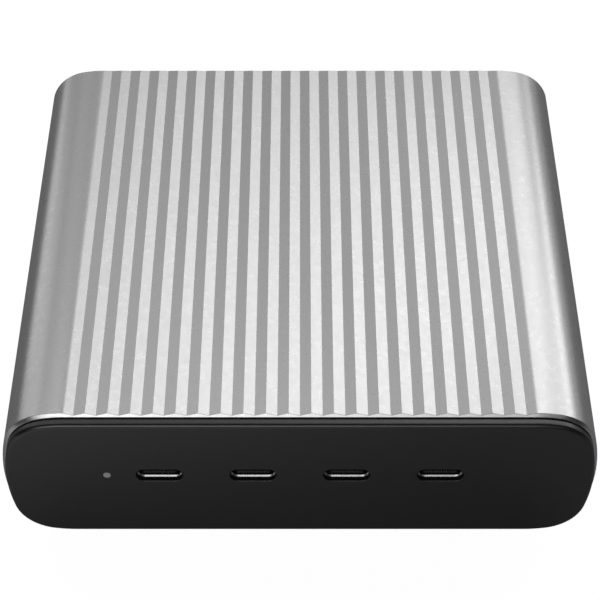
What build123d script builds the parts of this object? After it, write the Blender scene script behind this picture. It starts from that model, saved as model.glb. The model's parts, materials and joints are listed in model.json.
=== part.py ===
from build123d import *
from math import atan2, cos, degrees, hypot, pi, sin, sqrt
import os

# Four-port USB desktop charger. Millimetres, +Z up, front towards -Y.
# Origin: middle of the footprint, on the plane that the feet stand on.

# Sleeve: one aluminium extrusion with V ribs along its top
sleeve_width = 116.0
sleeve_height = 33.2
sleeve_length = 105.8
sleeve_wall = 2.0
flank_run = 13.3             # width of each rounded flank
flank_top_radius = 25.4      # the flank is three tangent arcs, mirrored at mid height
flank_corner_radius = 9.75
flank_side_radius = 41.0
rib_pitch = 4.3
rib_count = 21
rib_depth = 0.31
end_bevel_drop = 0.56        # into the wall, at each open end
end_bevel_run = 0.56         # along the length

# Card guides inside the sleeve, which hold the main board by its edges
guide_thickness = 1.2
guide_bite = 1.5
guide_clearance = 0.15

# End bezels: black mouldings with a flange, a seat on the sleeve's end and a plug that goes in
bezel_inset = 0.7            # front flange's edge, in from the sleeve's skin
rear_inset = 1.7             # rear flange's edge, low enough to hide behind the sleeve
bezel_flange = 1.8
rear_flange = 1.0
bezel_edge_radius = 0.85
bezel_edge_bands = 3         # flat bands that make up the rounded edge
bezel_plate = 2.4            # thickness of the face wall
seat_inset = 1.45
reveal = 0.35                # dark line between the sleeve and the flange
plug_clearance = 0.1
plug_wall = 1.6
plug_length = 5.0

# Snap ridges on the plugs, and their pockets in the sleeve
snap_width = 10.0
snap_length = 1.6
snap_height = 0.5
snap_setback = 1.2           # from the plug's end
snap_offset = 30.0           # from the middle, to each side
snap_clearance = 0.1

# Rubber feet in shallow pockets
foot_diameter = 9.0
foot_stand = 0.9
foot_pocket = 0.8
foot_clearance = 0.1
foot_inset_x = 18.0          # from the sleeve's side to the foot's middle
foot_inset_y = 13.0          # from the sleeve's end to the foot's middle

# USB-C sockets, standard size
port_count = 4
port_pitch = 18.2
port_rise = 1.43             # above the middle of the case
port_gap = 0.1               # between the shell and the bezel's opening
port_edge = 0.1              # bevel round each opening
shell_width = 8.94
shell_height = 3.16
shell_wall = 0.3
shell_length = 9.85
shell_recess = 1.0           # shell's mouth, behind the bezel's face
tongue_width = 6.69
tongue_thickness = 0.7
tongue_recess = 0.8          # tongue's tip, behind the bezel's face
tongue_tip = 0.15
socket_block = 2.6           # moulded block that closes the back of the shell
socket_clearance = 0.03

# Status light
pipe_diameter = 1.5
pipe_clearance = 0.05
pipe_collar_diameter = 2.8
pipe_collar = 1.0
pipe_offset = 10.2           # from the first port's middle
led_side = 1.6
led_depth = 0.6

# Mains inlet, standard three-pin size
inlet_opening_width = 24.6
inlet_opening_height = 16.4
inlet_wall = 1.3
inlet_bevel = 4.4            # cut off the two corners beside the earth pin
inlet_depth = 17.5
inlet_back = 2.2
inlet_mouth_edge = 0.4
inlet_clearance = 0.12
ear_width = 1.6              # ledges on both sides, behind the bezel's wall
ear_height = 8.0
ear_thickness = 1.5
pin_width = 2.0
pin_height = 4.0
pin_spread = 14.0            # line to neutral
pin_shift = 2.0              # earth above, line and neutral below the middle
pin_setback = 2.2            # tips, behind the mouth
pin_tip = 0.5
pin_land = 0.5               # from the board's notch to the pins' legs
pin_clearance = 0.02

# Circuit boards and insulation
board_thickness = 1.6
board_side_gap = 5.9         # from the sleeve's inner side
board_end_gap = 6.8          # from the sleeve's end
lead_space = 3.0             # for trimmed leads under the board
notch_clearance = 0.6
port_board_thickness = 1.6
port_board_margin = 14.0     # past the middle of the outer ports
port_board_head = 4.0        # below the sleeve's inner top
film_thickness = 0.4
film_margin = 3.0

# Heat path from the transformer to the sleeve
pad_thickness = 1.0
spreader_thickness = 1.5
spreader_overhang = 3.0

# Transformer and boost choke: two E-shaped core halves round a wound bobbin
transformer_width = 30.0
transformer_depth = 12.0
transformer_leg = 4.6
transformer_yoke = 4.4
transformer_post = 9.0
boost_width = 24.0
boost_depth = 10.0
boost_leg = 4.0
boost_yoke = 4.0
boost_post = 7.0
post_gap = 0.3               # air gap between the middle posts
bobbin_wall = 1.0
bobbin_clearance = 0.2
winding_clearance = 0.05
tall_row_gap = 13.0          # from the port board to the transformer

# Line choke: two U-shaped core halves with a winding round each leg
line_choke_width = 17.0
line_choke_height = 14.0
line_choke_depth = 5.0
line_choke_bar = 4.0
line_choke_wire = 2.0
line_choke_clearance = 0.15

# Capacitors and small parts on the main board
part_gap = 2.0
bulk_cap_count = 2
bulk_cap_diameter = 14.0
bulk_cap_head = 4.5          # free height over each capacitor
output_cap_length = 7.3
output_cap_width = 4.3
output_cap_height = 2.8
coil_side = 7.3
coil_height = 5.0
coil_bevel = 0.8
coil_gap = 1.0
front_gap = 1.5              # from the port board to the coils
line_cap_length = 18.0
line_cap_width = 8.5
line_cap_height = 14.0
line_cap_edge = 0.8
fuse_length = 8.4
fuse_width = 4.0
fuse_height = 8.0
bridge_length = 20.0
bridge_width = 3.6
bridge_height = 15.0
bridge_bevel = 3.0
cut_margin = 1.0             # how far cutting tools reach past what they cut

# Places worked out from the sizes above
case_mid = foot_stand + sleeve_height / 2
floor_z = foot_stand + sleeve_wall
ceiling_z = foot_stand + sleeve_height - sleeve_wall
end_y = sleeve_length / 2
seat_y = end_y + reveal
face_y = seat_y + bezel_flange
rear_y = seat_y + rear_flange
flat_half = sleeve_width / 2 - flank_run
plug_inset = sleeve_wall + plug_clearance
top_arc_centre = (flat_half, sleeve_height / 2 - flank_top_radius)
side_arc_centre = (sleeve_width / 2 - flank_side_radius, 0)
board_half_width = sleeve_width / 2 - sleeve_wall - board_side_gap
board_half_length = sleeve_length / 2 - board_end_gap
board_bottom = floor_z + lead_space
board_top = board_bottom + board_thickness
port_z = case_mid + port_rise
port_xs = [(i - (port_count - 1) / 2) * port_pitch for i in range(port_count)]
mouth_y = shell_recess - face_y
port_board_front = mouth_y + shell_length
port_board_back = port_board_front + port_board_thickness
pipe_x = port_xs[0] - pipe_offset
inlet_width = inlet_opening_width + 2 * inlet_wall
inlet_height = inlet_opening_height + 2 * inlet_wall
inlet_back_y = rear_y - inlet_depth - inlet_back
notch_half = inlet_width / 2 + ear_width + notch_clearance
notch_y = inlet_back_y - notch_clearance
leg_y = notch_y - pin_land - pin_width
bay_x = (notch_half + board_half_width) / 2
spreader_bottom = ceiling_z - pad_thickness - spreader_thickness
tall_row_width = transformer_width + part_gap + boost_width
transformer_x = (transformer_width - tall_row_width) / 2
boost_x = (tall_row_width - boost_width) / 2
bobbin_slack = 2 * bobbin_clearance + bobbin_wall
transformer_wire = (transformer_width - transformer_post) / 2 - transformer_leg - bobbin_slack
boost_wire = (boost_width - boost_post) / 2 - boost_leg - bobbin_slack
tall_row_depth = transformer_depth + 2 * (bobbin_clearance + bobbin_wall + transformer_wire)
coil_y = port_board_back + front_gap + coil_side / 2
tall_row_y = port_board_back + tall_row_gap + tall_row_depth / 2
line_leg_reach = line_choke_wire + line_choke_clearance
line_choke_y = board_half_length - part_gap - line_leg_reach - line_choke_depth / 2
line_cap_back = line_choke_y - line_choke_depth / 2 - line_leg_reach - part_gap
bridge_y = leg_y - part_gap - bridge_width / 2


# Shapes that several pieces share
def end_plane(y):
    return Plane((0, y, case_mid), x_dir=(1, 0, 0), z_dir=(0, -1, 0))


def prism(face, front, back):
    # Carries a face drawn on the end plane from y = front to y = back
    return extrude(end_plane(back) * face, amount=back - front)


def corner_arc_centre():
    # Where a circle of the corner's radius touches both of the flank's other arcs from inside
    across = side_arc_centre[0] - top_arc_centre[0]
    up = side_arc_centre[1] - top_arc_centre[1]
    span = hypot(across, up)
    reach = flank_top_radius - flank_corner_radius
    other = flank_side_radius - flank_corner_radius
    along = (reach ** 2 - other ** 2 + span ** 2) / (2 * span)
    aside = sqrt(reach ** 2 - along ** 2)
    x = top_arc_centre[0] + (along * across + aside * up) / span
    return x, top_arc_centre[1] + (along * up - aside * across) / span


def bearing(start, end):
    return degrees(atan2(end[1] - start[1], end[0] - start[0]))


def case_face(inset):
    # Section of the case, parallel to the sleeve's skin: flat top and bottom, full round flanks
    centre = corner_arc_centre()
    top_angle = bearing(top_arc_centre, centre)
    side_angle = bearing(side_arc_centre, centre)
    flank = [
        CenterArc(side_arc_centre, flank_side_radius - inset, 0, side_angle),
        CenterArc(centre, flank_corner_radius - inset, side_angle, top_angle - side_angle),
        CenterArc(top_arc_centre, flank_top_radius - inset, top_angle, 90 - top_angle),
    ]
    top = sleeve_height / 2 - inset
    upper = flank + [mirror(arc, about=Plane.YZ) for arc in flank]
    upper.append(Line((-flat_half, top), (flat_half, top)))
    return make_face(Curve() + upper + [mirror(edge, about=Plane.XZ) for edge in upper])


def box_between(low, high):
    size = [b - a for a, b in zip(low, high)]
    middle = [(a + b) / 2 for a, b in zip(low, high)]
    return Pos(*middle) * Box(*size)


def disc(x, y, bottom, diameter, height):
    return Pos(x, y, bottom + height / 2) * Cylinder(diameter / 2, height)


def tube(x, y, bottom, outer, inner, height):
    # Upright rectangular tube; outer and inner are sizes along X and Y
    wall = Rectangle(*outer) - Rectangle(*inner)
    return extrude(Plane((x, y, bottom)) * wall, amount=height)


# Casing
def guide_rails():
    # Two rails on each flank, with the board's edge between them
    inner = board_half_width - guide_bite
    outer = sleeve_width / 2
    gap_low = board_bottom - guide_clearance - case_mid
    gap_high = board_top + guide_clearance - case_mid
    rails = Sketch()
    for side in (-1, 1):
        for z in (gap_low - guide_thickness / 2, gap_high + guide_thickness / 2):
            rails += Pos(side * (inner + outer) / 2, z) * Rectangle(outer - inner, guide_thickness)
    return rails


def guide_notches():
    # Room for the rails in a bezel's plug
    inner = board_half_width - guide_bite - plug_clearance
    outer = sleeve_width / 2
    height = board_thickness + 2 * (guide_clearance + guide_thickness + plug_clearance)
    z = (board_bottom + board_top) / 2 - case_mid
    notches = Sketch()
    for side in (-1, 1):
        notches += Pos(side * (inner + outer) / 2, z) * Rectangle(outer - inner, height)
    return notches


def rib_cutter():
    # Zigzag that leaves the ribs' crests on the flat top of the section
    top = sleeve_height / 2
    first = -rib_count * rib_pitch / 2
    points = [(first, top)]
    for i in range(rib_count):
        valley = first + (i + 0.5) * rib_pitch
        points += [(valley, top - rib_depth), (valley + rib_pitch / 2, top)]
    points += [(-first, top + cut_margin), (first, top + cut_margin)]
    return make_face(Polyline(*points, close=True))


def end_bevel(end):
    # What the bevel takes off one open end; end is -1 at the front and 1 at the back
    outer = end * end_y
    inner = end * (end_y - end_bevel_run)
    kept = loft([end_plane(inner) * case_face(0), end_plane(outer) * case_face(end_bevel_drop)], ruled=True)
    blank = Rectangle(sleeve_width + cut_margin, sleeve_height + cut_margin)
    return prism(blank, min(inner, outer), max(inner, outer)) - kept


def snap_ends():
    # Front and back of a ridge on the front plug
    back = plug_length - snap_setback - end_y
    return back - snap_length, back


def snap_skin(side):
    # Height of the plug's skin under a ridge; side is -1 below and 1 above
    return case_mid + side * (sleeve_height / 2 - plug_inset)


def snap_ridge(x, side):
    # The ridge ramps up from the plug's end, so that it slides in, and catches on its front face
    front, back = snap_ends()
    skin = snap_skin(side)
    profile = make_face(Polyline((front, skin), (front, skin + side * snap_height), (back, skin), close=True))
    return extrude(Plane.YZ.offset(x - snap_width / 2) * profile, amount=snap_width, dir=(1, 0, 0))


def snap_pocket(x, side):
    front, back = snap_ends()
    skin = snap_skin(side)
    low, high = sorted((skin, skin + side * (snap_height + snap_clearance)))
    half = snap_width / 2 + snap_clearance
    return box_between((x - half, front - snap_clearance, low), (x + half, back + snap_clearance, high))


def snap_places():
    return [(x, side) for x in (-snap_offset, snap_offset) for side in (-1, 1)]


def foot_places():
    x = sleeve_width / 2 - foot_inset_x
    y = sleeve_length / 2 - foot_inset_y
    return {"front_left": (-x, -y), "front_right": (x, -y), "rear_left": (-x, y), "rear_right": (x, y)}


def ribbed_sleeve():
    hollow = case_face(sleeve_wall) - guide_rails()
    sleeve = prism(case_face(0) - hollow - rib_cutter(), -end_y, end_y)
    sleeve -= end_bevel(-1)
    sleeve -= end_bevel(1)
    for x, side in snap_places():
        pocket = snap_pocket(x, side)
        sleeve -= pocket
        sleeve -= Rot(0, 0, 180) * pocket
    for x, y in foot_places().values():
        sleeve -= disc(x, y, 0, foot_diameter + 2 * foot_clearance, foot_stand + foot_pocket)
    return sleeve


def foot(x, y):
    return disc(x, y, 0, foot_diameter, foot_stand + foot_pocket)


def bezel_rim(inset, face):
    # Flange with its outer edge rounded off in bands
    sections = []
    for i in range(bezel_edge_bands + 1):
        turn = i / bezel_edge_bands * pi / 2
        y = bezel_edge_radius * (1 - sin(turn)) - face
        sections.append(end_plane(y) * case_face(inset + bezel_edge_radius * (1 - cos(turn))))
    straight = prism(case_face(inset), bezel_edge_radius - face, -seat_y)
    return straight + loft(sections, ruled=True)


def plain_bezel(inset, face):
    # Bezel at the front end, before its openings: the flange's edge is that far in from the skin,
    # and its face that far from the middle
    seat = prism(case_face(max(seat_inset, inset)), -seat_y, -end_y)
    plug = prism(case_face(plug_inset) - guide_notches(), -end_y, plug_length - end_y)
    hollow = prism(case_face(plug_inset + plug_wall), bezel_plate - face, plug_length - end_y)
    bezel = bezel_rim(inset, face) + seat + plug - hollow
    for x, side in snap_places():
        bezel += snap_ridge(x, side)
    return bezel


def port_cutter(x):
    # One port's opening through the face wall, bevelled at the face
    place = Pos(x, port_rise)
    opening = SlotOverall(shell_width + 2 * port_gap, shell_height + 2 * port_gap)
    grow = 2 * (port_gap + port_edge)
    mouth = SlotOverall(shell_width + grow, shell_height + grow)
    ends = [end_plane(-face_y) * place * mouth, end_plane(port_edge - face_y) * place * opening]
    bevel = loft(ends, ruled=True)
    return prism(place * opening, -face_y, bezel_plate - face_y) + bevel


def front_bezel():
    bezel = plain_bezel(bezel_inset, face_y)
    for x in port_xs:
        bezel -= port_cutter(x)
    hole = Pos(pipe_x, port_rise) * Circle(pipe_diameter / 2 + pipe_clearance)
    return bezel - prism(hole, -face_y, bezel_plate - face_y)


def rear_bezel():
    grow = 2 * inlet_clearance
    hole = inlet_outline(inlet_width + grow, inlet_height + grow)
    return Rot(0, 0, 180) * plain_bezel(rear_inset, rear_y) - prism(hole, rear_y - bezel_plate, rear_y)


# USB-C sockets and status light
def usb_shell(x):
    outer = SlotOverall(shell_width, shell_height)
    inner = SlotOverall(shell_width - 2 * shell_wall, shell_height - 2 * shell_wall)
    return prism(Pos(x, port_rise) * (outer - inner), mouth_y, port_board_front)


def usb_tongue(x):
    # Contact tongue on the block that closes the back of the shell
    place = Pos(x, port_rise)
    inset = 2 * (shell_wall + socket_clearance)
    block_face = SlotOverall(shell_width - inset, shell_height - inset)
    block_front = port_board_front - socket_block
    tongue = prism(place * Rectangle(tongue_width, tongue_thickness), tongue_recess - face_y, block_front)
    tongue = chamfer(tongue.faces().sort_by(Axis.Y)[0].edges(), tongue_tip)
    return prism(place * block_face, block_front, port_board_front) + tongue


def light_pipe():
    place = Pos(pipe_x, port_rise)
    collar_front = bezel_plate - face_y
    rod = prism(place * Circle(pipe_diameter / 2), -face_y, port_board_front - led_depth)
    return rod + prism(place * Circle(pipe_collar_diameter / 2), collar_front, collar_front + pipe_collar)


def status_led():
    return Pos(pipe_x, port_board_front - led_depth / 2, port_z) * Box(led_side, led_depth, led_side)


# Mains inlet
def inlet_outline(width, height):
    # Rectangle with its two upper corners cut off
    x, z = width / 2, height / 2
    cut_x, cut_z = x - inlet_bevel, z - inlet_bevel
    points = [(-x, -z), (x, -z), (x, cut_z), (cut_x, z), (-cut_x, z), (-x, cut_z)]
    return make_face(Polyline(*points, close=True))


def pin_places():
    half = pin_spread / 2
    return {"line": (-half, -pin_shift), "neutral": (half, -pin_shift), "earth": (0, pin_shift)}


def inlet_body():
    ear_back = rear_y - bezel_plate
    edge = 2 * inlet_mouth_edge
    recess = inlet_outline(inlet_opening_width, inlet_opening_height)
    mouth = inlet_outline(inlet_opening_width + edge, inlet_opening_height + edge)
    body = prism(inlet_outline(inlet_width, inlet_height), inlet_back_y, rear_y)
    body += prism(Rectangle(inlet_width + 2 * ear_width, ear_height), ear_back - ear_thickness, ear_back)
    body -= prism(recess, rear_y - inlet_depth, rear_y)
    body -= loft([end_plane(rear_y) * mouth, end_plane(rear_y - inlet_mouth_edge) * recess], ruled=True)
    slot = Rectangle(pin_width + 2 * pin_clearance, pin_height + 2 * pin_clearance)
    for x, z in pin_places().values():
        body -= prism(Pos(x, z) * slot, inlet_back_y, rear_y - inlet_depth)
    return body


def inlet_pin(x, z):
    # Blade with a bevelled tip, and a leg behind the body that stands on the main board
    blade = prism(Pos(x, z) * Rectangle(pin_width, pin_height), leg_y, rear_y - pin_setback)
    blade = chamfer(blade.faces().sort_by(Axis.Y)[-1].edges(), pin_tip)
    half = pin_width / 2
    return blade + box_between((x - half, leg_y, board_top), (x + half, leg_y + pin_width, case_mid + z))


# Boards, insulation and heat path
def main_board():
    x, y = board_half_width, board_half_length
    board = box_between((-x, -y, board_bottom), (x, y, board_top))
    return board - box_between((-notch_half, notch_y, board_bottom), (notch_half, y, board_top))


def port_board():
    half = port_xs[-1] + port_board_margin
    top = ceiling_z - port_board_head
    return box_between((-half, port_board_front, board_top), (half, port_board_back, top))


def insulating_film():
    x, y = flat_half - film_margin, board_half_length
    return box_between((-x, -y, floor_z), (x, y, floor_z + film_thickness))


def heat_plate(bottom, thickness):
    x = tall_row_width / 2 + spreader_overhang
    y = tall_row_depth / 2 + spreader_overhang
    return box_between((-x, tall_row_y - y, bottom), (x, tall_row_y + y, bottom + thickness))


# Transformer and boost choke
def e_core_lower(x, width, depth, leg, yoke, post):
    # Yoke, two outer legs that meet the other half, and a shorter middle post
    half, side = width / 2, depth / 2
    leg_top = (board_top + spreader_bottom) / 2
    yoke_top = board_top + yoke
    core = box_between((-half, -side, board_top), (half, side, leg_top))
    core -= box_between((leg - half, -side, yoke_top), (-post / 2, side, leg_top))
    core -= box_between((post / 2, -side, yoke_top), (half - leg, side, leg_top))
    core -= box_between((-post / 2, -side, leg_top - post_gap / 2), (post / 2, side, leg_top))
    return Pos(x, tall_row_y) * core


def e_core_upper(*sizes):
    return mirror(e_core_lower(*sizes), about=Plane.XY.offset((board_top + spreader_bottom) / 2))


def e_core_bobbin(x, depth, yoke, post, wire):
    # Spool round the post, with a flange at each end
    grow = 2 * bobbin_clearance
    bore = (post + grow, depth + grow)
    barrel = [size + 2 * bobbin_wall for size in bore]
    flange = [size + 2 * wire for size in barrel]
    bottom = board_top + yoke + bobbin_clearance
    height = spreader_bottom - yoke - bobbin_clearance - bottom
    spool = tube(x, tall_row_y, bottom, barrel, bore, height)
    spool += tube(x, tall_row_y, bottom, flange, bore, bobbin_wall)
    return spool + tube(x, tall_row_y, bottom + height - bobbin_wall, flange, bore, bobbin_wall)


def e_core_winding(x, depth, yoke, post, wire):
    grow = 2 * (bobbin_clearance + bobbin_wall + winding_clearance)
    inner = (post + grow, depth + grow)
    outer = [size + 2 * (wire - 2 * winding_clearance) for size in inner]
    end = yoke + bobbin_clearance + bobbin_wall + winding_clearance
    bottom = board_top + end
    return tube(x, tall_row_y, bottom, outer, inner, spreader_bottom - end - bottom)


# Line choke
def u_core_lower():
    half, side = line_choke_width / 2, line_choke_depth / 2
    leg_top = board_top + line_choke_height / 2
    core = box_between((-half, -side, board_top), (half, side, leg_top))
    inner = half - line_choke_bar
    core -= box_between((-inner, -side, board_top + line_choke_bar), (inner, side, leg_top))
    return Pos(bay_x, line_choke_y) * core


def u_core_upper():
    return mirror(u_core_lower(), about=Plane.XY.offset(board_top + line_choke_height / 2))


def line_winding(side):
    # Round one leg; side is -1 on the left and 1 on the right
    x = bay_x + side * (line_choke_width - line_choke_bar) / 2
    grow = 2 * line_choke_clearance
    inner = (line_choke_bar + grow, line_choke_depth + grow)
    outer = [size + 2 * line_choke_wire for size in inner]
    end = line_choke_bar + line_choke_clearance
    return tube(x, line_choke_y, board_top + end, outer, inner, line_choke_height - 2 * end)


# Capacitors and small parts
def bulk_capacitor(i):
    y = board_half_length - (i + 1) * part_gap - (i + 0.5) * bulk_cap_diameter
    return disc(-bay_x, y, board_top, bulk_cap_diameter, ceiling_z - bulk_cap_head - board_top)


def block(x, y, length, width, height):
    # Plain package on the main board; length along X, width along Y
    return Pos(x, y, board_top + height / 2) * Box(length, width, height)


def output_capacitor(x):
    place = x + (coil_side + coil_gap) / 2
    return block(place, coil_y, output_cap_width, output_cap_length, output_cap_height)


def output_coil(x):
    place = x - (output_cap_width + coil_gap) / 2
    coil = block(place, coil_y, coil_side, coil_side, coil_height)
    return chamfer(coil.edges().filter_by(Axis.Z), coil_bevel)


def line_capacitor():
    case = block(bay_x, line_cap_back - line_cap_width / 2, line_cap_length, line_cap_width, line_cap_height)
    return chamfer(case.edges().filter_by(Axis.Z), line_cap_edge)


def fuse():
    y = bridge_y - (bridge_width + fuse_width) / 2 - part_gap
    return block(0, y, fuse_length, fuse_width, fuse_height)


def bridge_rectifier():
    # Flat package on edge, with one top corner cut off
    x = bridge_length / 2
    low, high = board_top - case_mid, board_top + bridge_height - case_mid
    points = [(-x, low), (x, low), (x, high), (bridge_bevel - x, high), (-x, high - bridge_bevel)]
    face = make_face(Polyline(*points, close=True))
    return prism(face, bridge_y - bridge_width / 2, bridge_y + bridge_width / 2)


def casing_nodes():
    nodes = {"ribbed_sleeve": ribbed_sleeve(), "front_bezel": front_bezel(), "rear_bezel": rear_bezel()}
    for name, place in foot_places().items():
        nodes[f"foot_{name}"] = foot(*place)
    return nodes


def port_nodes():
    nodes = {"led_light_pipe": light_pipe(), "status_led": status_led(), "port_board": port_board()}
    for i, x in enumerate(port_xs, 1):
        nodes[f"usb_c_shell_{i}"] = usb_shell(x)
        nodes[f"usb_c_tongue_{i}"] = usb_tongue(x)
        nodes[f"output_coil_{i}"] = output_coil(x)
        nodes[f"output_capacitor_{i}"] = output_capacitor(x)
    return nodes


def mains_nodes():
    nodes = {"inlet_body": inlet_body(), "fuse": fuse(), "bridge_rectifier": bridge_rectifier()}
    for name, place in pin_places().items():
        nodes[f"inlet_pin_{name}"] = inlet_pin(*place)
    nodes["line_capacitor"] = line_capacitor()
    nodes["line_choke_core_lower"] = u_core_lower()
    nodes["line_choke_core_upper"] = u_core_upper()
    for i, side in enumerate((-1, 1), 1):
        nodes[f"line_choke_winding_{i}"] = line_winding(side)
    return nodes


def e_core_nodes(name, x, width, depth, leg, yoke, post, wire):
    return {
        f"{name}_core_lower": e_core_lower(x, width, depth, leg, yoke, post),
        f"{name}_core_upper": e_core_upper(x, width, depth, leg, yoke, post),
        f"{name}_bobbin": e_core_bobbin(x, depth, yoke, post, wire),
        f"{name}_winding": e_core_winding(x, depth, yoke, post, wire),
    }


def power_nodes():
    nodes = {
        "main_board": main_board(),
        "insulating_film": insulating_film(),
        "heat_spreader": heat_plate(spreader_bottom, spreader_thickness),
        "thermal_pad": heat_plate(ceiling_z - pad_thickness, pad_thickness),
    }
    nodes |= e_core_nodes("transformer", transformer_x, transformer_width, transformer_depth, transformer_leg,
                          transformer_yoke, transformer_post, transformer_wire)
    nodes |= e_core_nodes("boost_choke", boost_x, boost_width, boost_depth, boost_leg, boost_yoke, boost_post,
                          boost_wire)
    for i in range(bulk_cap_count):
        nodes[f"bulk_capacitor_{i + 1}"] = bulk_capacitor(i)
    return nodes


def main():
    os.makedirs("parts", exist_ok=True)
    for group in (casing_nodes(), port_nodes(), mains_nodes(), power_nodes()):
        for name, shape in group.items():
            export_step(shape, f"parts/{name}.step")


if __name__ == "__main__":
    main()
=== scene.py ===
import json
import math

import bpy
import numpy as np
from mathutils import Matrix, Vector
from mathutils.geometry import tessellate_polygon


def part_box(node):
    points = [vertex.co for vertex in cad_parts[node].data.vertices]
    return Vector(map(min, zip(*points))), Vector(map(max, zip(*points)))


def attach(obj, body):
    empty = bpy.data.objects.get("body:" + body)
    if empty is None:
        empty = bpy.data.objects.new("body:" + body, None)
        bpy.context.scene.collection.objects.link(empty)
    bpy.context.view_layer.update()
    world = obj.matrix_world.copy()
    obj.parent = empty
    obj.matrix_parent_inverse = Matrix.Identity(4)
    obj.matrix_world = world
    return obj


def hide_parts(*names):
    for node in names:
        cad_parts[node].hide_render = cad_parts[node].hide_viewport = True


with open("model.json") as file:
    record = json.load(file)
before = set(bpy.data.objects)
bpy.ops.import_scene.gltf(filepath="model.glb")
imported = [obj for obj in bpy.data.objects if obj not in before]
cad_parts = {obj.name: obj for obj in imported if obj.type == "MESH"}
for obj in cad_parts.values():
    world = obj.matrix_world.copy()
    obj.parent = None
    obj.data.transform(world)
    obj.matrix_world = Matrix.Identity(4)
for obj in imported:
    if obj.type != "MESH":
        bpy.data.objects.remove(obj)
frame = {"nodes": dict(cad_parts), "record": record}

mm = 0.001
leastArea = 1e-6            # square millimetres
fullRound = 0.999           # share of the half height that an arc takes, so that no two points meet
evenWeight = 100            # how much the larger faces count for the shading
noiseRange = (0.3, 0.7)     # where most of a noise's values lie
white = (1, 1, 1, 1)
scene = bpy.context.scene
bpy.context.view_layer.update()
print("frame loaded,", len(frame["nodes"]), "nodes")


# Meshes: a part collects grids of points and flat caps, in millimetres
def newPart():
    return {"points": [], "faces": [], "seams": [], "count": 0}


def addSheet(part, grid, closeRows=False, closeColumns=True):
    # Each cell of a rows by columns grid is one quad; a closed direction joins its last line to its first
    rows, columns = grid.shape[:2]
    ids = part["count"] + np.arange(rows * columns).reshape(rows, columns)
    below = np.roll(ids, -1, 0)
    quads = np.stack([ids, below, np.roll(below, -1, 1), np.roll(ids, -1, 1)], -1)
    quads = quads[:rows if closeRows else rows - 1, :columns if closeColumns else columns - 1]
    part["points"].append(grid.reshape(-1, 3))
    part["faces"] += quads.reshape(-1, 4).tolist()
    part["count"] += rows * columns
    return ids


def turnSlivers(points, triangles):
    # A triangle without area gives its long side away: with its neighbour there it becomes two proper ones
    a, b, c = points[triangles].transpose(1, 0, 2)
    area = np.linalg.norm(np.cross(b - a, c - a), axis=1) / 2
    for k in np.flatnonzero(area < leastArea):
        sides = np.linalg.norm(points[np.roll(triangles[k], -1)] - points[triangles[k]], axis=1)
        first, last, between = np.roll(triangles[k], -np.argmax(sides))
        shared = np.isin(triangles, (first, last))
        other = next(n for n in np.flatnonzero(shared.sum(1) == 2) if n != k)
        apex = triangles[other][~shared[other]][0]
        triangles[k], triangles[other] = (first, between, apex), (between, last, apex)


def addCap(part, loops, facing):
    # Flat fill between an outer loop of point numbers and its holes; facing is the side it shows, as a vector
    points = np.concatenate(part["points"])
    order = np.concatenate(loops)
    flat = [axis for axis in range(3) if not facing[axis]]
    triangles = order[np.array(tessellate_polygon([points[loop][:, flat].tolist() for loop in loops]))]
    turnSlivers(points, triangles)
    a, b, c = points[triangles].transpose(1, 0, 2)
    wrong = np.cross(b - a, c - a) @ np.array(facing) < 0
    triangles[wrong] = triangles[wrong][:, ::-1]
    part["faces"] += triangles.tolist()
    part["seams"] += [np.stack([loop, np.roll(loop, -1)], 1) for loop in loops]


def markSharp(mesh, pairs):
    # Caps keep their flat shading: the edges round them are sharp. An edge's key is low * count + high
    count = len(mesh.vertices)
    ends = np.empty(2 * len(mesh.edges), np.int32)
    mesh.edges.foreach_get("vertices", ends)
    keys = [np.sort(p.astype(np.int64), 1) @ np.array([count, 1]) for p in (ends.reshape(-1, 2), pairs)]
    mesh.attributes.new("sharp_edge", "BOOLEAN", "EDGE").data.foreach_set("value", np.isin(*keys))


def makePiece(name, part, material, slot, *nodes):
    mesh = bpy.data.meshes.new(name)
    mesh.from_pydata(np.concatenate(part["points"]) * mm, [], part["faces"])
    mesh.polygons.foreach_set("use_smooth", np.ones(len(mesh.polygons), bool))
    mesh.materials.append(material)
    if part["seams"]:
        markSharp(mesh, np.concatenate(part["seams"]))
    piece = bpy.data.objects.new(name, mesh)
    scene.collection.objects.link(piece)
    even = piece.modifiers.new("evenShading", "WEIGHTED_NORMAL")
    even.weight = evenWeight
    even.keep_sharp = True
    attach(piece, "root")
    if nodes:
        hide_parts(*nodes)
    print("piece", name, len(mesh.polygons), "faces")
    return piece


def softCorners(corners, reaches, steps):
    # Rounds a path's corners: the arc from reach before a corner to reach after it, as the rational curve
    # ((1-s)^2 A + 2 s (1-s) w C + s^2 B) / ((1-s)^2 + 2 s (1-s) w + s^2) with w the cosine of half the turn.
    # corners has one array of (inset, depth) for each corner; a reach of 0 keeps the corner
    rows = []
    s = np.linspace(0, 1, steps)[:, None, None]
    count = len(corners)
    for k, reach in enumerate(reaches):
        c = corners[k]
        if not reach:
            rows.append(c[None])
            continue
        before = corners[(k - 1) % count] - c
        after = corners[(k + 1) % count] - c
        before = before / np.linalg.norm(before, axis=-1, keepdims=True)
        after = after / np.linalg.norm(after, axis=-1, keepdims=True)
        w = np.sqrt((1 - (before * after).sum(-1, keepdims=True)) / 2)
        top = (1 - s) ** 2 * (c + reach * before) + 2 * s * (1 - s) * w * c + s ** 2 * (c + reach * after)
        rows.append(top / ((1 - s) ** 2 + 2 * s * (1 - s) * w + s ** 2))
    return np.concatenate(rows)


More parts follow.
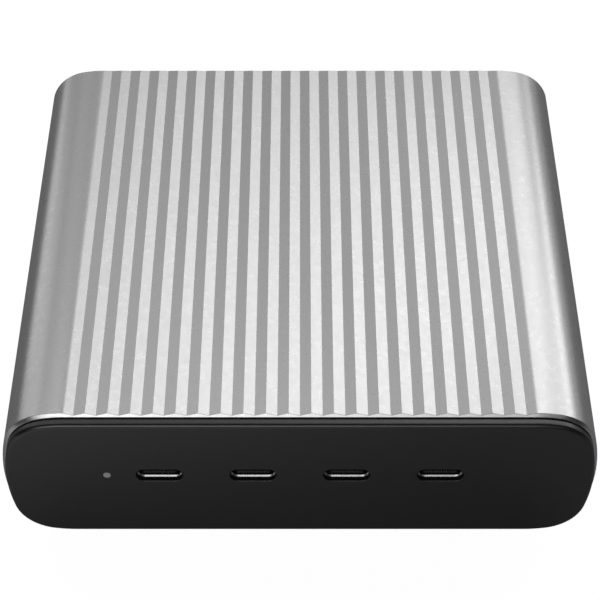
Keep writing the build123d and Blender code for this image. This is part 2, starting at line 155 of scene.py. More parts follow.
def carry(outline, profile, axis="y", place=(0, 0)):
    # Outline (points and outward normals) carried along a profile of (inset, depth) rows:
    # point - inset * normal, at that depth along the axis
    points, normals = outline
    flat = points[None] - profile[..., :1] * normals[None] + np.array(place)
    depth = np.broadcast_to(profile[..., 1], flat.shape[:2])
    order = {"y": (flat[..., 0], depth, flat[..., 1]), "z": (flat[..., 0], flat[..., 1], depth)}
    return np.stack(order[axis], -1)


def spread(rows, outline):
    # Corner list in plain numbers, repeated for every point of an outline
    return [np.broadcast_to(np.array(row, float), (len(outline[0]), 2)) for row in rows]


def roundedPolygon(corners, radius, steps):
    # Polygon, counter-clockwise, with its corners as arcs: centre + radius * unit normal, where the normal
    # turns from one side's to the next
    corners = np.array(corners, float)
    side = np.roll(corners, -1, 0) - corners
    side /= np.linalg.norm(side, axis=1, keepdims=True)
    after = np.stack([side[:, 1], -side[:, 0]], 1)
    before = np.roll(after, 1, 0)
    dot = (before * after).sum(1, keepdims=True)
    centre = corners - radius * (before + after) / (1 + dot)
    start = np.arctan2(before[:, 1], before[:, 0])
    angle = start[:, None] + np.arccos(np.clip(dot, -1, 1)) * np.linspace(0, 1, steps)
    normals = np.stack([np.cos(angle), np.sin(angle)], -1)
    return (centre[:, None] + radius * normals).reshape(-1, 2), normals.reshape(-1, 2)


def noseProfile(tip, edge, back, steps=6):
    # Quarter round at the tip, then straight: inset edge * (1 - sin s) at depth tip + edge * (1 - cos s)
    s = np.linspace(0, math.pi / 2, steps)
    nose = np.stack([edge * (1 - np.sin(s)), tip + edge * (1 - np.cos(s))], 1)
    return np.concatenate([nose, [[0, back]]])[:, None]


def addBar(part, outline, profile, axis="y", place=(0, 0)):
    # Outline carried along a profile and closed with a flat cap at each end
    ids = addSheet(part, carry(outline, profile, axis, place))
    towards = np.array({"y": (0, -1, 0), "z": (0, 0, 1)}[axis])
    addCap(part, [ids[0]], towards)
    addCap(part, [ids[-1]], -towards)


def rectangle(width, height):
    x, z = width / 2, height / 2
    return [(-x, -z), (x, -z), (x, z), (-x, z)]


def oblong(width, height, steps=14):
    return roundedPolygon(rectangle(width, height), height / 2 * fullRound, steps)


def circle(diameter, steps=10):
    return roundedPolygon(rectangle(diameter, diameter), diameter / 2 * fullRound, steps)


# Section of the case, shared by the sleeve and both bezels
low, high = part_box("ribbed_sleeve")
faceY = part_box("front_bezel")[0].y / mm
rearY = -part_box("rear_bezel")[1].y / mm     # back face, in the turned drawing of the back end
caseShape = {
    "width": (high.x - low.x) / mm,
    "height": (high.z - low.z) / mm,
    "middle": (high.z + low.z) / 2 / mm,
    "endY": high.y / mm,
    "flankRun": 13.3,
    "topRadius": 25.4,
    "cornerRadius": 9.75,
    "sideRadius": 41.0,
    "arcSteps": (6, 40, 13),    # points on the side, corner and top arcs
}


def flankArcs():
    # Centres, radii and turning angles of the side, corner and top arcs in the upper right quarter
    c = caseShape
    top = np.array([c["width"] / 2 - c["flankRun"], c["height"] / 2 - c["topRadius"]])
    side = np.array([c["width"] / 2 - c["sideRadius"], 0.0])
    span = np.linalg.norm(side - top)
    reach = c["topRadius"] - c["cornerRadius"]
    other = c["sideRadius"] - c["cornerRadius"]
    along = (reach ** 2 - other ** 2 + span ** 2) / (2 * span)
    aside = math.sqrt(reach ** 2 - along ** 2)
    unit = (side - top) / span
    corner = top + along * unit + aside * np.array([unit[1], -unit[0]])
    turns = [math.atan2(*(corner - middle)[::-1]) for middle in (side, top)]
    return np.array([side, corner, top]), np.array([c["sideRadius"], c["cornerRadius"], c["topRadius"]]), turns


def caseOutline(topPlaces=()):
    # Right flank upwards, top from right to left, left flank downwards. A flank point at turning angle a is
    # arc centre + radius * (cos a, sin a) on the arc that holds a; its normal is (cos a, sin a)
    centres, radii, turns = flankArcs()
    side, corner, top = caseShape["arcSteps"]
    quarter = np.concatenate([np.linspace(0, turns[0], side, endpoint=False),
                              np.linspace(turns[0], turns[1], corner, endpoint=False),
                              np.linspace(turns[1], math.pi / 2, top)])
    arc = np.digitize(quarter, turns)
    normal = np.stack([np.cos(quarter), np.sin(quarter)], 1)
    point = centres[arc] + radii[arc, None] * normal
    flip = np.array([1, -1])
    right = [np.concatenate([a[:0:-1] * flip, a]) for a in (point, normal)]
    left = [a[::-1] * -flip for a in right]
    x = np.array(topPlaces, float)
    top = [np.stack([x, np.full(len(x), caseShape["height"] / 2)], 1), np.tile([0.0, 1.0], (len(x), 1))]
    return [np.concatenate(group) for group in zip(right, top, left)]


# Sleeve: V ribs on the top, bevelled ends
sleeve = {
    "wall": 2.0,
    "ribPitch": 4.3,
    "ribCount": 21,
    "ribDepth": 0.31,
    "ribEdge": 0.05,        # half width of the rounding on crests and in valleys
    "bevelDrop": 0.56,
    "bevelRun": 0.56,
    "edgeReach": 0.05,
    "ribSteps": 5,
    "edgeSteps": 4,
}


def softened(d, e):
    # A distance whose point at 0 is rounded: (d^2 + e^2) / 2e within e of it
    return np.where(d < e, (d * d + e * e) / (2 * e), d)


def ribDepth(x):
    # Depth under the flat top: slope times the distance to the nearest crest, up to the middle of each V,
    # rounded on crests and in valleys
    pitch, e = sleeve["ribPitch"], sleeve["ribEdge"]
    slope = sleeve["ribDepth"] / (pitch / 2)
    phase = (x + sleeve["ribCount"] * pitch / 2) % pitch
    fromCrest = np.minimum(phase, pitch - phase)
    fromValley = pitch / 2 - fromCrest
    return np.minimum(slope * softened(fromCrest, e), sleeve["ribDepth"] - slope * softened(fromValley, e))


def ribbedSleeve(material):
    # Outline with a point on each side of every crest and valley, carried along the sleeve's wall. The skin
    # lies rib depth inside the outline and ends where the bevel meets it
    pitch, count, e = sleeve["ribPitch"], sleeve["ribCount"], sleeve["ribEdge"]
    half = count * pitch / 2
    flat = caseShape["width"] / 2 - caseShape["flankRun"]
    turns = half - np.arange(1, 2 * count)[:, None] * pitch / 2
    places = (turns + np.linspace(e, -e, sleeve["ribSteps"])).ravel()
    outline = caseOutline(places[np.abs(places) < flat])
    x, z = outline[0].T
    onTop = (np.abs(x) < half) & (z > 0)
    depth = np.where(onTop, np.clip(ribDepth(x) - (caseShape["height"] / 2 - z), 0, None), 0)
    end, drop = caseShape["endY"], sleeve["bevelDrop"]
    skinEnd = end - sleeve["bevelRun"] * (1 - depth / drop)
    skin = [np.stack([depth, y], 1) for y in (-skinEnd, skinEnd)]
    wall, reach = sleeve["wall"], sleeve["edgeReach"]
    corners = [*spread([(drop, -end)], outline), *skin, *spread([(drop, end), (wall, end), (wall, -end)], outline)]
    profile = softCorners(corners, [reach, reach, reach, reach, 2 * reach, 2 * reach], sleeve["edgeSteps"])
    part = newPart()
    addSheet(part, carry(outline, profile, place=(0, caseShape["middle"])), closeRows=True)
    return makePiece("ribbedSleeve", part, material, "anodised_aluminium", "ribbed_sleeve")


# Bezels: rounded rim, seat behind the dark line, plug inside the sleeve
bezel = {
    "inset": 0.7,
    "rearInset": 1.7,
    "flange": 1.8,
    "rearFlange": 1.0,
    "edgeRadius": 0.85,
    "backEdge": 0.1,
    "plate": 2.4,
    "seatInset": 1.45,
    "reveal": 0.35,
    "plugInset": 2.1,
    "plugWall": 1.6,
    "plugLength": 5.0,
    "edgeSteps": 9,
    "mouthSteps": 6,
}


def bezelRim(part, inset, flange, face):
    # Rim profile from the face's edge round the flange, seat and plug to the inner face: rows of inset, depth
    # from the face and the corner's reach. A flange as low as the seat has no step behind it
    b = bezel
    radius, edge = b["edgeRadius"], b["backEdge"]
    seat, plug = max(b["seatInset"], inset), b["plugInset"]
    seatEnd = flange + b["reveal"]
    plugEnd = seatEnd + b["plugLength"]
    inner = plug + b["plugWall"]
    step = [(inset, flange, edge), (seat, flange, edge)] if inset < seat else []
    rows = [(inset + radius, 0, 0), (inset, 0, radius), *step, (seat, seatEnd, 0), (plug, seatEnd, 0),
            (plug, plugEnd, edge), (inner, plugEnd, edge), (inner, b["plate"], 0)]
    outline = caseOutline()
    corners = spread([row[:2] for row in rows], outline)
    profile = softCorners(corners, [row[2] for row in rows], b["edgeSteps"])[1:] + np.array([0, face])
    ids = addSheet(part, carry(outline, profile, place=(0, caseShape["middle"])))
    return ids[0], ids[-1]


def holeWall(part, outline, place, mouth, depth, face=faceY):
    # Wall of an opening from a depth behind the face to its rounded mouth on the face. The mouth widens by
    # mouth * (1 - cos s) at mouth * (1 - sin s) behind the face
    s = np.linspace(0, math.pi / 2, bezel["mouthSteps"])
    lip = np.stack([-mouth * (1 - np.cos(s)), mouth * (1 - np.sin(s))], 1)
    profile = np.concatenate([[[0, depth]], lip])[:, None] + np.array([0, face])
    ids = addSheet(part, carry(outline, profile, place=place))
    return ids[-1], ids[0]


def turnRound(part):
    # The back bezel is drawn as a front one and turned by half a turn about the vertical
    part["points"] = [points * np.array([-1, -1, 1]) for points in part["points"]]


ports = {
    "shellWidth": 8.94,
    "shellHeight": 3.16,
    "shellWall": 0.3,
    "lipBevel": 0.25,       # lead-in on the inner edge of the mouth, at 45 degrees
    "lipEdge": 0.03,
    "gap": 0.1,
    "mouth": 0.16,
    "tongueWidth": 6.69,
    "tongueThickness": 0.7,
    "tongueEdge": 0.2,
    "noseEdge": 0.18,
    "blockDepth": 2.6,
    "blockGap": 0.03,
    "lipSteps": 4,
    "tongueSteps": 5,
}
contacts = {"count": 12, "pitch": 0.5, "width": 0.26, "length": 3.2, "rise": 0.03, "sink": 0.05, "bendSteps": 6}
portCount = 4


def nodeMiddle(node):
    lowest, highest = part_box(node)
    return (lowest + highest) / 2 / mm


def portPlaces():
    return [nodeMiddle(f"usb_c_shell_{i + 1}") for i in range(portCount)]


light = {"diameter": 1.5, "gap": 0.05, "mouth": 0.06, "dome": 0.05, "rings": (0.05, 0.3, 0.6, 0.85, 0.96, 1.0)}


def frontBezel(material):
    part = newPart()
    rimFront, rimBack = bezelRim(part, bezel["inset"], bezel["flange"], faceY)
    p = ports
    opening = oblong(p["shellWidth"] + 2 * p["gap"], p["shellHeight"] + 2 * p["gap"])
    plate = bezel["plate"]
    walls = [holeWall(part, opening, (middle.x, middle.z), p["mouth"], plate) for middle in portPlaces()]
    pipe = nodeMiddle("led_light_pipe")
    pipeHole = circle(light["diameter"] + 2 * light["gap"])
    walls.append(holeWall(part, pipeHole, (pipe.x, pipe.z), light["mouth"], plate))
    addCap(part, [rimFront, *(wall[0] for wall in walls)], (0, -1, 0))
    addCap(part, [rimBack, *(wall[1] for wall in walls)], (0, 1, 0))
    return makePiece("frontBezel", part, material, "black_plastic", "front_bezel")


inlet = {
    "width": 24.6,
    "height": 16.4,
    "cut": 4.4,             # off the two corners beside the earth pin
    "corner": 0.8,
    "wall": 1.3,
    "gap": 0.12,
    "bezelLip": 0.1,
    "rim": 0.15,
    "mouth": 0.4,
    "depth": 17.5,
    "back": 2.2,
    "earWidth": 1.6,
    "earHeight": 8.0,
    "earThickness": 1.5,
    "earEdge": 0.2,
    "earSteps": 4,
    "cornerSteps": 6,
}
pins = {"width": 2.0, "height": 4.0, "edge": 0.3, "tip": 0.28, "slotGap": 0.02, "edgeSteps": 5}
pinNodes = ["inlet_pin_line", "inlet_pin_neutral", "inlet_pin_earth"]


def inletOutline(grow=0.0):
    x, z, cut = inlet["width"] / 2 + grow, inlet["height"] / 2 + grow, inlet["cut"]
    corners = [(-x, -z), (x, -z), (x, z - cut), (x - cut, z), (cut - x, z), (-x, z - cut)]
    return roundedPolygon(corners, inlet["corner"], inlet["cornerSteps"])


def rearBezel(material):
    part = newPart()
    rimFront, rimBack = bezelRim(part, bezel["rearInset"], bezel["rearFlange"], rearY)
    opening = inletOutline(inlet["wall"] + inlet["gap"])
    wall = holeWall(part, opening, (0, caseShape["middle"]), inlet["bezelLip"], bezel["plate"], rearY)
    addCap(part, [rimFront, wall[0]], (0, -1, 0))
    addCap(part, [rimBack, wall[1]], (0, 1, 0))
    turnRound(part)
    return makePiece("rearBezel", part, material, "black_plastic", "rear_bezel")


def bladePlace(node):
    # Middle of a pin's blade, in the turned drawing of the back end
    lowest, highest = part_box(node)
    return -nodeMiddle(node).x, highest.z / mm - pins["height"] / 2


def inletBody(material):
    # Skin, recess and pin slots, joined by the rim, the recess's floor and the back; two ledges at the sides
    i = inlet
    middle = (0, caseShape["middle"])
    floorY = rearY + i["depth"]
    backY = floorY + i["back"]
    part = newPart()
    skin = addSheet(part, carry(inletOutline(i["wall"]), noseProfile(rearY, i["rim"], backY), place=middle))
    recess = holeWall(part, inletOutline(), middle, i["mouth"], i["depth"], rearY)
    grow = 2 * pins["slotGap"]
    slotSize = rectangle(pins["width"] + grow, pins["height"] + grow)
    slot = roundedPolygon(slotSize, pins["edge"], pins["edgeSteps"])
    through = np.array([[0, backY], [0, floorY]])[:, None]
    slots = [addSheet(part, carry(slot, through, place=bladePlace(node))) for node in pinNodes]
    addCap(part, [skin[0], recess[0]], (0, -1, 0))
    addCap(part, [recess[1], *(ids[1] for ids in slots)], (0, -1, 0))
    addCap(part, [skin[-1], *(ids[0] for ids in slots)], (0, 1, 0))
    ear = roundedPolygon(rectangle(i["earWidth"], i["earHeight"]), i["earEdge"], i["earSteps"])
    earFront = rearY + bezel["plate"]
    earDepth = np.array([[0, earFront], [0, earFront + i["earThickness"]]])[:, None]
    reach = i["width"] / 2 + i["wall"] + i["earWidth"] / 2
    for x in (-reach, reach):
        addBar(part, ear, earDepth, place=(x, middle[1]))
    turnRound(part)
    return makePiece("inletBody", part, material, "inlet_plastic", "inlet_body")


def inletPin(node, material):
    # Blade with rounded edges and tip, and the leg behind the body that stands on the board
    lowest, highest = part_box(node)
    x, z = bladePlace(node)
    tip, back = -highest.y / mm, -lowest.y / mm
    width, edge, steps = pins["width"], pins["edge"], pins["edgeSteps"]
    part = newPart()
    blade = roundedPolygon(rectangle(width, pins["height"]), edge, steps)
    addBar(part, blade, noseProfile(tip, pins["tip"], back), place=(x, z))
    leg = roundedPolygon(rectangle(width, width), edge, steps)
    addBar(part, leg, np.array([[0, z], [0, lowest.z / mm]])[:, None], "z", (x, back - width / 2))
    turnRound(part)
    return makePiece("".join(word.capitalize() for word in node.split("_")), part, material, "pin_metal", node)


def usbShell(number, material):
    # Drawn oblong tube with a bevelled lead-in
    p = ports
    node = f"usb_c_shell_{number}"
    lowest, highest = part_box(node)
    middle = nodeMiddle(node)
    front, back = lowest.y / mm, highest.y / mm
    outline = oblong(p["shellWidth"], p["shellHeight"])
    wall, bevel, edge = p["shellWall"], p["lipBevel"], p["lipEdge"]
    corners = spread([(0, front), (0, back), (wall, back), (wall, front + bevel), (wall - bevel, front)], outline)
    part = newPart()
    profile = softCorners(corners, [edge / 2, 0, 0, edge, edge / 2], p["lipSteps"])
    addSheet(part, carry(outline, profile, place=(middle.x, middle.z)), closeRows=True)
    return makePiece(f"usbShell{number}", part, material, "socket_steel", node)


def usbTongue(number, material):
    # Tongue with rounded edges on the block that closes the shell
    p = ports
    node = f"usb_c_tongue_{number}"
    lowest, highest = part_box(node)
    middle = nodeMiddle(node)
    place = (middle.x, middle.z)
    tip, back = lowest.y / mm, highest.y / mm
    blockFront = back - p["blockDepth"]
    inset = 2 * (p["shellWall"] + p["blockGap"])
    block = oblong(p["shellWidth"] - inset, p["shellHeight"] - inset)
    part = newPart()
    rows = addSheet(part, carry(block, np.array(spread([(0, blockFront), (0, back)], block)), place=place))
    bladeSize = rectangle(p["tongueWidth"], p["tongueThickness"])
    blade = roundedPolygon(bladeSize, p["tongueEdge"], p["tongueSteps"])
    ids = addSheet(part, carry(blade, noseProfile(tip, p["noseEdge"], blockFront), place=place))
    addCap(part, [ids[0]], (0, -1, 0))
    addCap(part, [rows[0], ids[-1]], (0, -1, 0))
    addCap(part, [rows[1]], (0, 1, 0))
    return makePiece(f"usbTongue{number}", part, material, "tongue_plastic", node)


def contactStrips(number, material):
    # Strips bent round the tongue's nose. At angle a from the top, the path is centre + edge * n with
    # n = (-sin a, cos a) in depth and height; a strip lies between path - sink * n and path + rise * n
    p, c = ports, contacts
    node = f"usb_c_tongue_{number}"
    middle = nodeMiddle(node)
    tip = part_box(node)[0].y / mm
    edge, half = p["noseEdge"], p["tongueThickness"] / 2
    upper = np.linspace(0, math.pi / 2, c["bendSteps"])
    a = np.concatenate([[0], upper, math.pi - upper[::-1], [math.pi]])
    normal = np.stack([-np.sin(a), np.cos(a)], 1)
    upDown = np.sign(math.pi / 2 - np.arange(len(a)) * math.pi / (len(a) - 1))
    path = np.stack([np.full(len(a), tip + edge), middle.z + upDown * (half - edge)], 1) + edge * normal
    path[[0, -1], 0] = tip + c["length"]
    faces = np.stack([path + c["rise"] * normal, path - c["sink"] * normal], 1)[:, [0, 0, 1, 1]]
    across = c["width"] / 2 * np.broadcast_to([-1, 1, 1, -1], faces.shape[:2])
    part = newPart()
    for k in range(c["count"]):
        x = middle.x + (k - (c["count"] - 1) / 2) * c["pitch"]
        ids = addSheet(part, np.concatenate([(x + across)[..., None], faces], -1))
        addCap(part, [ids[0]], (0, 1, 0))
        addCap(part, [ids[-1]], (0, 1, 0))
    return makePiece(f"contactStrips{number}", part, material, "pin_metal")


def lightPipe(material):
    # Rod with a slightly domed end: the end sinks by dome * (r / radius)^2 towards its rim
    lowest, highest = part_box("led_light_pipe")
    middle = nodeMiddle("led_light_pipe")
    radius = light["diameter"] / 2
    outline = circle(light["diameter"])
    r = np.array(light["rings"]) * radius
    dome = np.stack([radius - r, lowest.y / mm + light["dome"] * (r / radius) ** 2], 1)
    profile = np.concatenate([dome, [[0, highest.y / mm]]])[:, None]
    part = newPart()
    ids = addSheet(part, carry(outline, np.broadcast_to(profile, (len(profile), len(outline[0]), 2)),
                               place=(middle.x, middle.z)))
    addCap(part, [ids[0]], (0, -1, 0))
    addCap(part, [ids[-1]], (0, 1, 0))
    return makePiece("lightPipe", part, material, "light_pipe", "led_light_pipe")


feet = {"edge": 0.35, "dish": 0.12, "rim": 1.1, "rimEdge": 0.06, "steps": 14, "edgeSteps": 7}


def rubberFoot(name, material):
    # Turned pad: flat top in its pocket, rounded lower edge
    lowest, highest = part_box(name)
    middle = nodeMiddle(name)
    outline = circle((highest.x - lowest.x) / mm, feet["steps"])
    rim = feet["rim"]
    corners = spread([(0, highest.z / mm), (0, 0), (rim, 0), (rim + feet["dish"], feet["dish"])], outline)
    profile = softCorners(corners, [0, feet["edge"], feet["rimEdge"], 0], feet["edgeSteps"])
    part = newPart()
    ids = addSheet(part, carry(outline, profile, "z", (middle.x, middle.y)))
    addCap(part, [ids[0]], (0, 0, 1))
    addCap(part, [ids[-1]], (0, 0, -1))
    return makePiece(name.replace("foot_", "foot."), part, material, "foot_rubber", name)


# Materials. A look has constants for shader sockets, the grain and patches as scale and detail of a noise,
# the grain's tones, the range of roughness that follows the patches (or the grain), and the bump of the grain
# as its height in millimetres and its strength
looks = {
    "anodisedAluminium": {
        "constants": {"Metallic": 1.0},
        "grain": (7000.0, 2.0),
        "tones": (0.77, 0.83),
        "patches": (900.0, 2.0),
        "roughness": (0.27, 0.31),
        "bump": (0.002, 0.4),
    },
    "satinBlack": {
        "constants": {"IOR": 1.57, "Specular IOR Level": 1.0},
        "grain": (5200.0, 3.0),
        "tones": (0.008, 0.012),
        "patches": (1500.0, 2.0),
        "roughness": (0.30, 0.36),
        "bump": (0.006, 0.4),
    },
    "socketSteel": {
        "constants": {"Metallic": 1.0},
        "grain": (3000.0, 2.0),
        "tones": (0.50, 0.60),
        "roughness": (0.22, 0.34),
    },
    # Contacts: metal with a very dark tone, painted shade of the port's recess rather than the metal's own colour
    "paintedShadeContactMetal": {
        "constants": {"Metallic": 1.0},
        "grain": (3000.0, 2.0),
        "tones": (0.10, 0.14),
        "roughness": (0.40, 0.52),
    },
    "pinMetal": {
        "constants": {"Metallic": 1.0},
        "grain": (3000.0, 2.0),
        "tones": (0.62, 0.72),
        "roughness": (0.18, 0.30),
    },
    "mouldedBlack": {
        "constants": {"Specular IOR Level": 0.4},
        "grain": (4000.0, 2.0),
        "tones": (0.010, 0.016),
        "roughness": (0.45, 0.6),
        "bump": (0.004, 0.4),
    },
    "frostedPipe": {
        "grain": (6000.0, 2.0),
        "tones": (0.78, 0.82),
        "roughness": (0.5, 0.6),
    },
    "footRubber": {
        "constants": {"Specular IOR Level": 0.25},
        "grain": (3500.0, 4.0),
        "tones": (0.012, 0.022),
        "roughness": (0.75, 0.9),
        "bump": (0.01, 0.5),
    },
}
# Pieces inside the case: their slot's colour, darkened by a share in the grain
innerLook = {"grain": (2500.0, 3.0), "bump": (0.005, 0.4)}
innerShade = 0.85
innerRoughness = {"metal": (0.3, 0.42), "other": (0.5, 0.62)}
metalSlots = {"copper_wire": 0.9, "capacitor_can": 1.0, "heat_plate": 1.0, "pin_metal": 1.0}


def addNode(tree, kind, sockets=None, operation=None):
    node = tree.nodes.new(kind)
    if operation:
        node.operation = operation
    for socket, value in (sockets or {}).items():
        node.inputs[socket].default_value = value
    return node


def noise(tree, where, pattern):
    scale, detail = pattern
    node = addNode(tree, "ShaderNodeTexNoise", {"Scale": scale, "Detail": detail})
    tree.links.new(where, node.inputs["Vector"])
    return node.outputs["Fac"]


def mapRange(tree, value, fromMin, fromMax, toMin, toMax):
    node = addNode(tree, "ShaderNodeMapRange", {"From Min": fromMin, "From Max": fromMax,
                                                "To Min": toMin, "To Max": toMax})
    tree.links.new(value, node.inputs["Value"])
    return node.outputs["Result"]


def ramp(tree, factor, ends):
    # Level between two ends, over the middle of a noise's range
    return mapRange(tree, factor, *noiseRange, *ends)


def tint(tree, factor, tones):
    # Colour between two tones, greys or colours, over the middle of a noise's range
    node = addNode(tree, "ShaderNodeValToRGB")
    for end, place, tone in zip(node.color_ramp.elements, noiseRange, tones):
        end.position = place
        end.color = (*np.broadcast_to(tone, 3), 1)
    tree.links.new(factor, node.inputs["Fac"])
    return node.outputs["Color"]


def bump(tree, height, relief):
    distance, strength = relief
    node = addNode(tree, "ShaderNodeBump", {"Distance": distance * mm, "Strength": strength})
    tree.links.new(height, node.inputs["Height"])
    return node.outputs["Normal"]


def newFinish(name, look):
    # Principled shader; tone, roughness and bump follow noise in the object's own coordinates
    material = bpy.data.materials.new(name)
    material.use_nodes = True
    tree = material.node_tree
    shader = tree.nodes["Principled BSDF"].inputs
    for socket, value in look.get("constants", {}).items():
        shader[socket].default_value = value
    where = tree.nodes.new("ShaderNodeTexCoord").outputs["Object"]
    grain = noise(tree, where, look["grain"])
    patches = noise(tree, where, look["patches"]) if "patches" in look else grain
    tree.links.new(tint(tree, grain, look["tones"]), shader["Base Color"])
    tree.links.new(ramp(tree, patches, look["roughness"]), shader["Roughness"])
    if "bump" in look:
        tree.links.new(bump(tree, grain, look["bump"]), shader["Normal"])
    return material


def innerFinish(slot, colour):
    metallic = metalSlots.get(slot, 0.0)
    look = dict(innerLook, constants={"Metallic": metallic})
    look["tones"] = [c * innerShade for c in colour], colour
    look["roughness"] = innerRoughness["metal" if metallic else "other"]
    return newFinish(slot + "Finish", look)


def dressNodes(kept):
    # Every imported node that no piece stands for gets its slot's finish
    finishes = {}
    colours = {row["slot"]: row["base_color"] for row in frame["record"]["materials"]}
    for row in frame["record"]["subparts"]:
        node, slot = row["node"], row["material_slot"]
        if node in kept:
            finishes[slot] = kept[node]
        if slot not in finishes:
            finishes[slot] = innerFinish(slot, colours[slot])
        data = frame["nodes"][node].data
        data.materials.clear()
        data.materials.append(finishes[slot])
    print("nodes dressed with", len(finishes), "finishes")


aluminium, black, steel, paintedShadeContactMetal, pinMetal = (newFinish(name, looks[name]) for name in (
    "anodisedAluminium", "satinBlack", "socketSteel", "paintedShadeContactMetal", "pinMetal"))
tonguePlastic, inletPlastic = (newFinish(name, looks["mouldedBlack"]) for name in (
    "tonguePlastic", "inletPlastic"))
pipePlastic, rubber = (newFinish(name, looks[name]) for name in ("frostedPipe", "footRubber"))
dressNodes({"ribbed_sleeve": aluminium, "front_bezel": black, "inlet_body": inletPlastic})

ribbedSleeve(aluminium)
frontBezel(black)
rearBezel(black)
for i in range(portCount):
    usbShell(i + 1, steel)
    usbTongue(i + 1, tonguePlastic)
    # contact strips carry the dark metal with the port's painted shade
    contactStrips(i + 1, paintedShadeContactMetal)
lightPipe(pipePlastic)
inletBody(inletPlastic)
for node in pinNodes:
    inletPin(node, pinMetal)
for name in sorted(n for n in frame["nodes"] if n.startswith("foot_")):
    rubberFoot(name, rubber)


# Camera: at the photograph's angle, in front of the ports and looking down
view = {
    "place": (0.0, -288.3, 300.4),
    "pitch": 45.0,
    "focal": 1873.0,        # in pixels of a square frame
    "frameSize": 600.0,
    "sensor": 36.0,
    "clip": (0.01, 20.0),   # metres
}


def addCamera():
    camera = bpy.data.objects.new("camera", bpy.data.cameras.new("camera"))
    camera.location = Vector(view["place"]) * mm
    camera.rotation_euler = (math.radians(90 - view["pitch"]), 0, 0)
    camera.data.sensor_width = view["sensor"]
    camera.data.lens = view["focal"] / view["frameSize"] * view["sensor"]
    camera.data.clip_start, camera.data.clip_end = view["clip"]
    scene.collection.objects.link(camera)
    scene.camera = camera


# Studio: pale floor that keeps a soft shadow and glows with a painted reflection for shiny surfaces, and soft
# panels round the object
studio = {
    "floorSize": 4.0,       # metres, like the panels' distance
    "floorCells": 8,
    "floorRoughness": 0.9,
    "floorTone": 0.5,
    "cameraGlow": 0.92,     # added for the camera, so that the lit floor is white and the shadow stays
    "paintedReflectionGlow": 0.2,       # painted reflection of a lit floor: most that shiny surfaces see added, a painted pool of light in front on the left
    "paintedLightAcross": (-70.0, 70.0, 1.2, 0.0),     # painted light, brighter on the left: from x to x, share to share
    "paintedShadeAlong": (-50.0, -110.0, 0.0, 1.0),    # painted shade, darker towards the object: from y to y, share to share
    "sky": 0.02,
    "away": 2.5,
}
# Panels by bearing from straight behind towards +X, height, width and tallness in degrees, and their watts
# per square metre
panels = {
    "rightHigh": (15, 56, 15, 16, 4.5),
    "right": (15, 40, 15, 16, 3.25),
    "rightOuter": (30, 40, 15, 16, 3.1),
    "rightSide": (45, 32, 15, 32, 2.5),
    "rightMiddle": (37.5, 24, 29, 16, 1.3),
    "sideLow": (52.5, 16, 29, 32, 1.05),
    "back": (0, 40, 15, 16, 1.15),
    "backLeft": (-15, 40, 15, 48, 0.8),
    "leftHigh": (-30, 56, 15, 16, 2.3),
    "left": (-37.5, 32, 28, 32, 0.95),
    "leftStrip": (-45, 24, 15, 48, 0.9),
    "leftLow": (-45, 8, 15, 16, 1.3),
    "front": (-171, 42, 26, 24, 4.7),
    "frontLeft": (-146, 42, 26, 24, 2.6),
    "frontRight": (150, 42, 24, 24, 0.7),
    "frontBelow": (-165, 20, 40, 20, 1.2),
}


def spanShare(tree, place, span):
    # Share that runs in a straight line between two places, given in millimetres
    first, last, least, most = span
    return mapRange(tree, place, first * mm, last * mm, least, most)


def product(tree, first, second):
    node = addNode(tree, "ShaderNodeMath", operation="MULTIPLY")
    for k, factor in enumerate((first, second)):
        if isinstance(factor, float):
            node.inputs[k].default_value = factor
        else:
            tree.links.new(factor, node.inputs[k])
    return node.outputs[0]


def largest(tree, first, second):
    node = addNode(tree, "ShaderNodeMath", operation="MAXIMUM")
    tree.links.new(first, node.inputs[0])
    tree.links.new(second, node.inputs[1])
    return node.outputs[0]


def floorGlowAndPaintedReflection(tree):
    # Camera and clear surfaces see a white floor; shiny ones see a painted reflection of a lit floor, with painted
    # shade that fades it towards the object and painted light that fades it to the right
    s = studio
    path = tree.nodes.new("ShaderNodeLightPath").outputs
    where = tree.nodes.new("ShaderNodeTexCoord").outputs["Object"]
    axes = tree.nodes.new("ShaderNodeSeparateXYZ")
    tree.links.new(where, axes.inputs[0])
    # Painted reflection for shiny rays: painted light brighter on the left, painted shade darker towards the
    # object
    across = spanShare(tree, axes.outputs["X"], s["paintedLightAcross"])
    along = spanShare(tree, axes.outputs["Y"], s["paintedShadeAlong"])
    shiny = product(tree, path["Is Glossy Ray"], s["paintedReflectionGlow"])
    gloss = product(tree, product(tree, across, along), shiny)
    plain = largest(tree, path["Is Camera Ray"], path["Is Transmission Ray"])
    return largest(tree, product(tree, plain, s["cameraGlow"]), gloss)


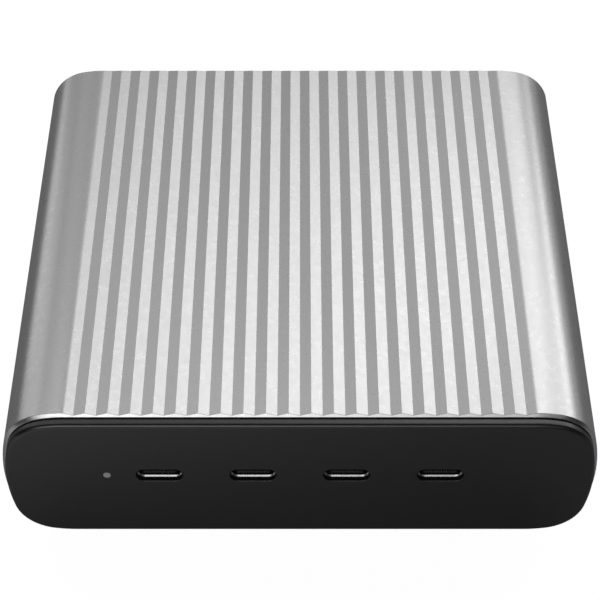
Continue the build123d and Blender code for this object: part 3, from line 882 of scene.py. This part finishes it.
def addFloor():
    s = studio
    material = bpy.data.materials.new("paleFloor")
    material.use_nodes = True
    tree = material.node_tree
    shader = tree.nodes["Principled BSDF"].inputs
    shader["Base Color"].default_value = (s["floorTone"],) * 3 + (1,)
    shader["Roughness"].default_value = s["floorRoughness"]
    shader["Specular IOR Level"].default_value = 0.0
    shader["Emission Color"].default_value = white
    tree.links.new(floorGlowAndPaintedReflection(tree), shader["Emission Strength"])
    reach = np.linspace(-1, 1, s["floorCells"] + 1) * s["floorSize"] / 2
    x, y = np.meshgrid(reach, reach)
    part = newPart()
    addSheet(part, np.stack([x, y, np.zeros_like(x)], -1)[::-1] / mm, closeColumns=False)
    mesh = bpy.data.meshes.new("floor")
    mesh.from_pydata(np.concatenate(part["points"]) * mm, [], part["faces"])
    mesh.materials.append(material)
    floor = bpy.data.objects.new("floor", mesh)
    scene.collection.objects.link(floor)


def addPanels():
    # Each panel faces the middle of the case
    middle, away = Vector((0, 0, caseShape["middle"] * mm)), studio["away"]
    for name, (bearing, height, wide, tall, watts) in panels.items():
        data = bpy.data.lights.new(name, "AREA")
        data.shape = "RECTANGLE"
        data.size, data.size_y = (2 * away * math.tan(math.radians(span / 2)) for span in (wide, tall))
        data.energy = watts * data.size * data.size_y
        turn, rise = math.radians(bearing), math.radians(height)
        level = math.cos(rise)
        towards = Vector((math.sin(turn) * level, math.cos(turn) * level, math.sin(rise)))
        panel = bpy.data.objects.new(name, data)
        panel.location = middle + towards * away
        panel.rotation_mode = "QUATERNION"
        panel.rotation_quaternion = towards.to_track_quat("Z", "Y")
        scene.collection.objects.link(panel)


def addSky():
    world = bpy.data.worlds.new("studioSky")
    scene.world = world
    world.use_nodes = True
    tree = world.node_tree
    back = tree.nodes["Background"]
    path = tree.nodes.new("ShaderNodeLightPath").outputs
    plain = largest(tree, path["Is Camera Ray"], path["Is Transmission Ray"])
    tree.links.new(mapRange(tree, plain, 0, 1, studio["sky"], 1), back.inputs["Strength"])
    back.inputs["Color"].default_value = white


addCamera()
addFloor()
addPanels()
addSky()
scene.view_settings.view_transform = "Standard"
print("camera, floor and lamps set")
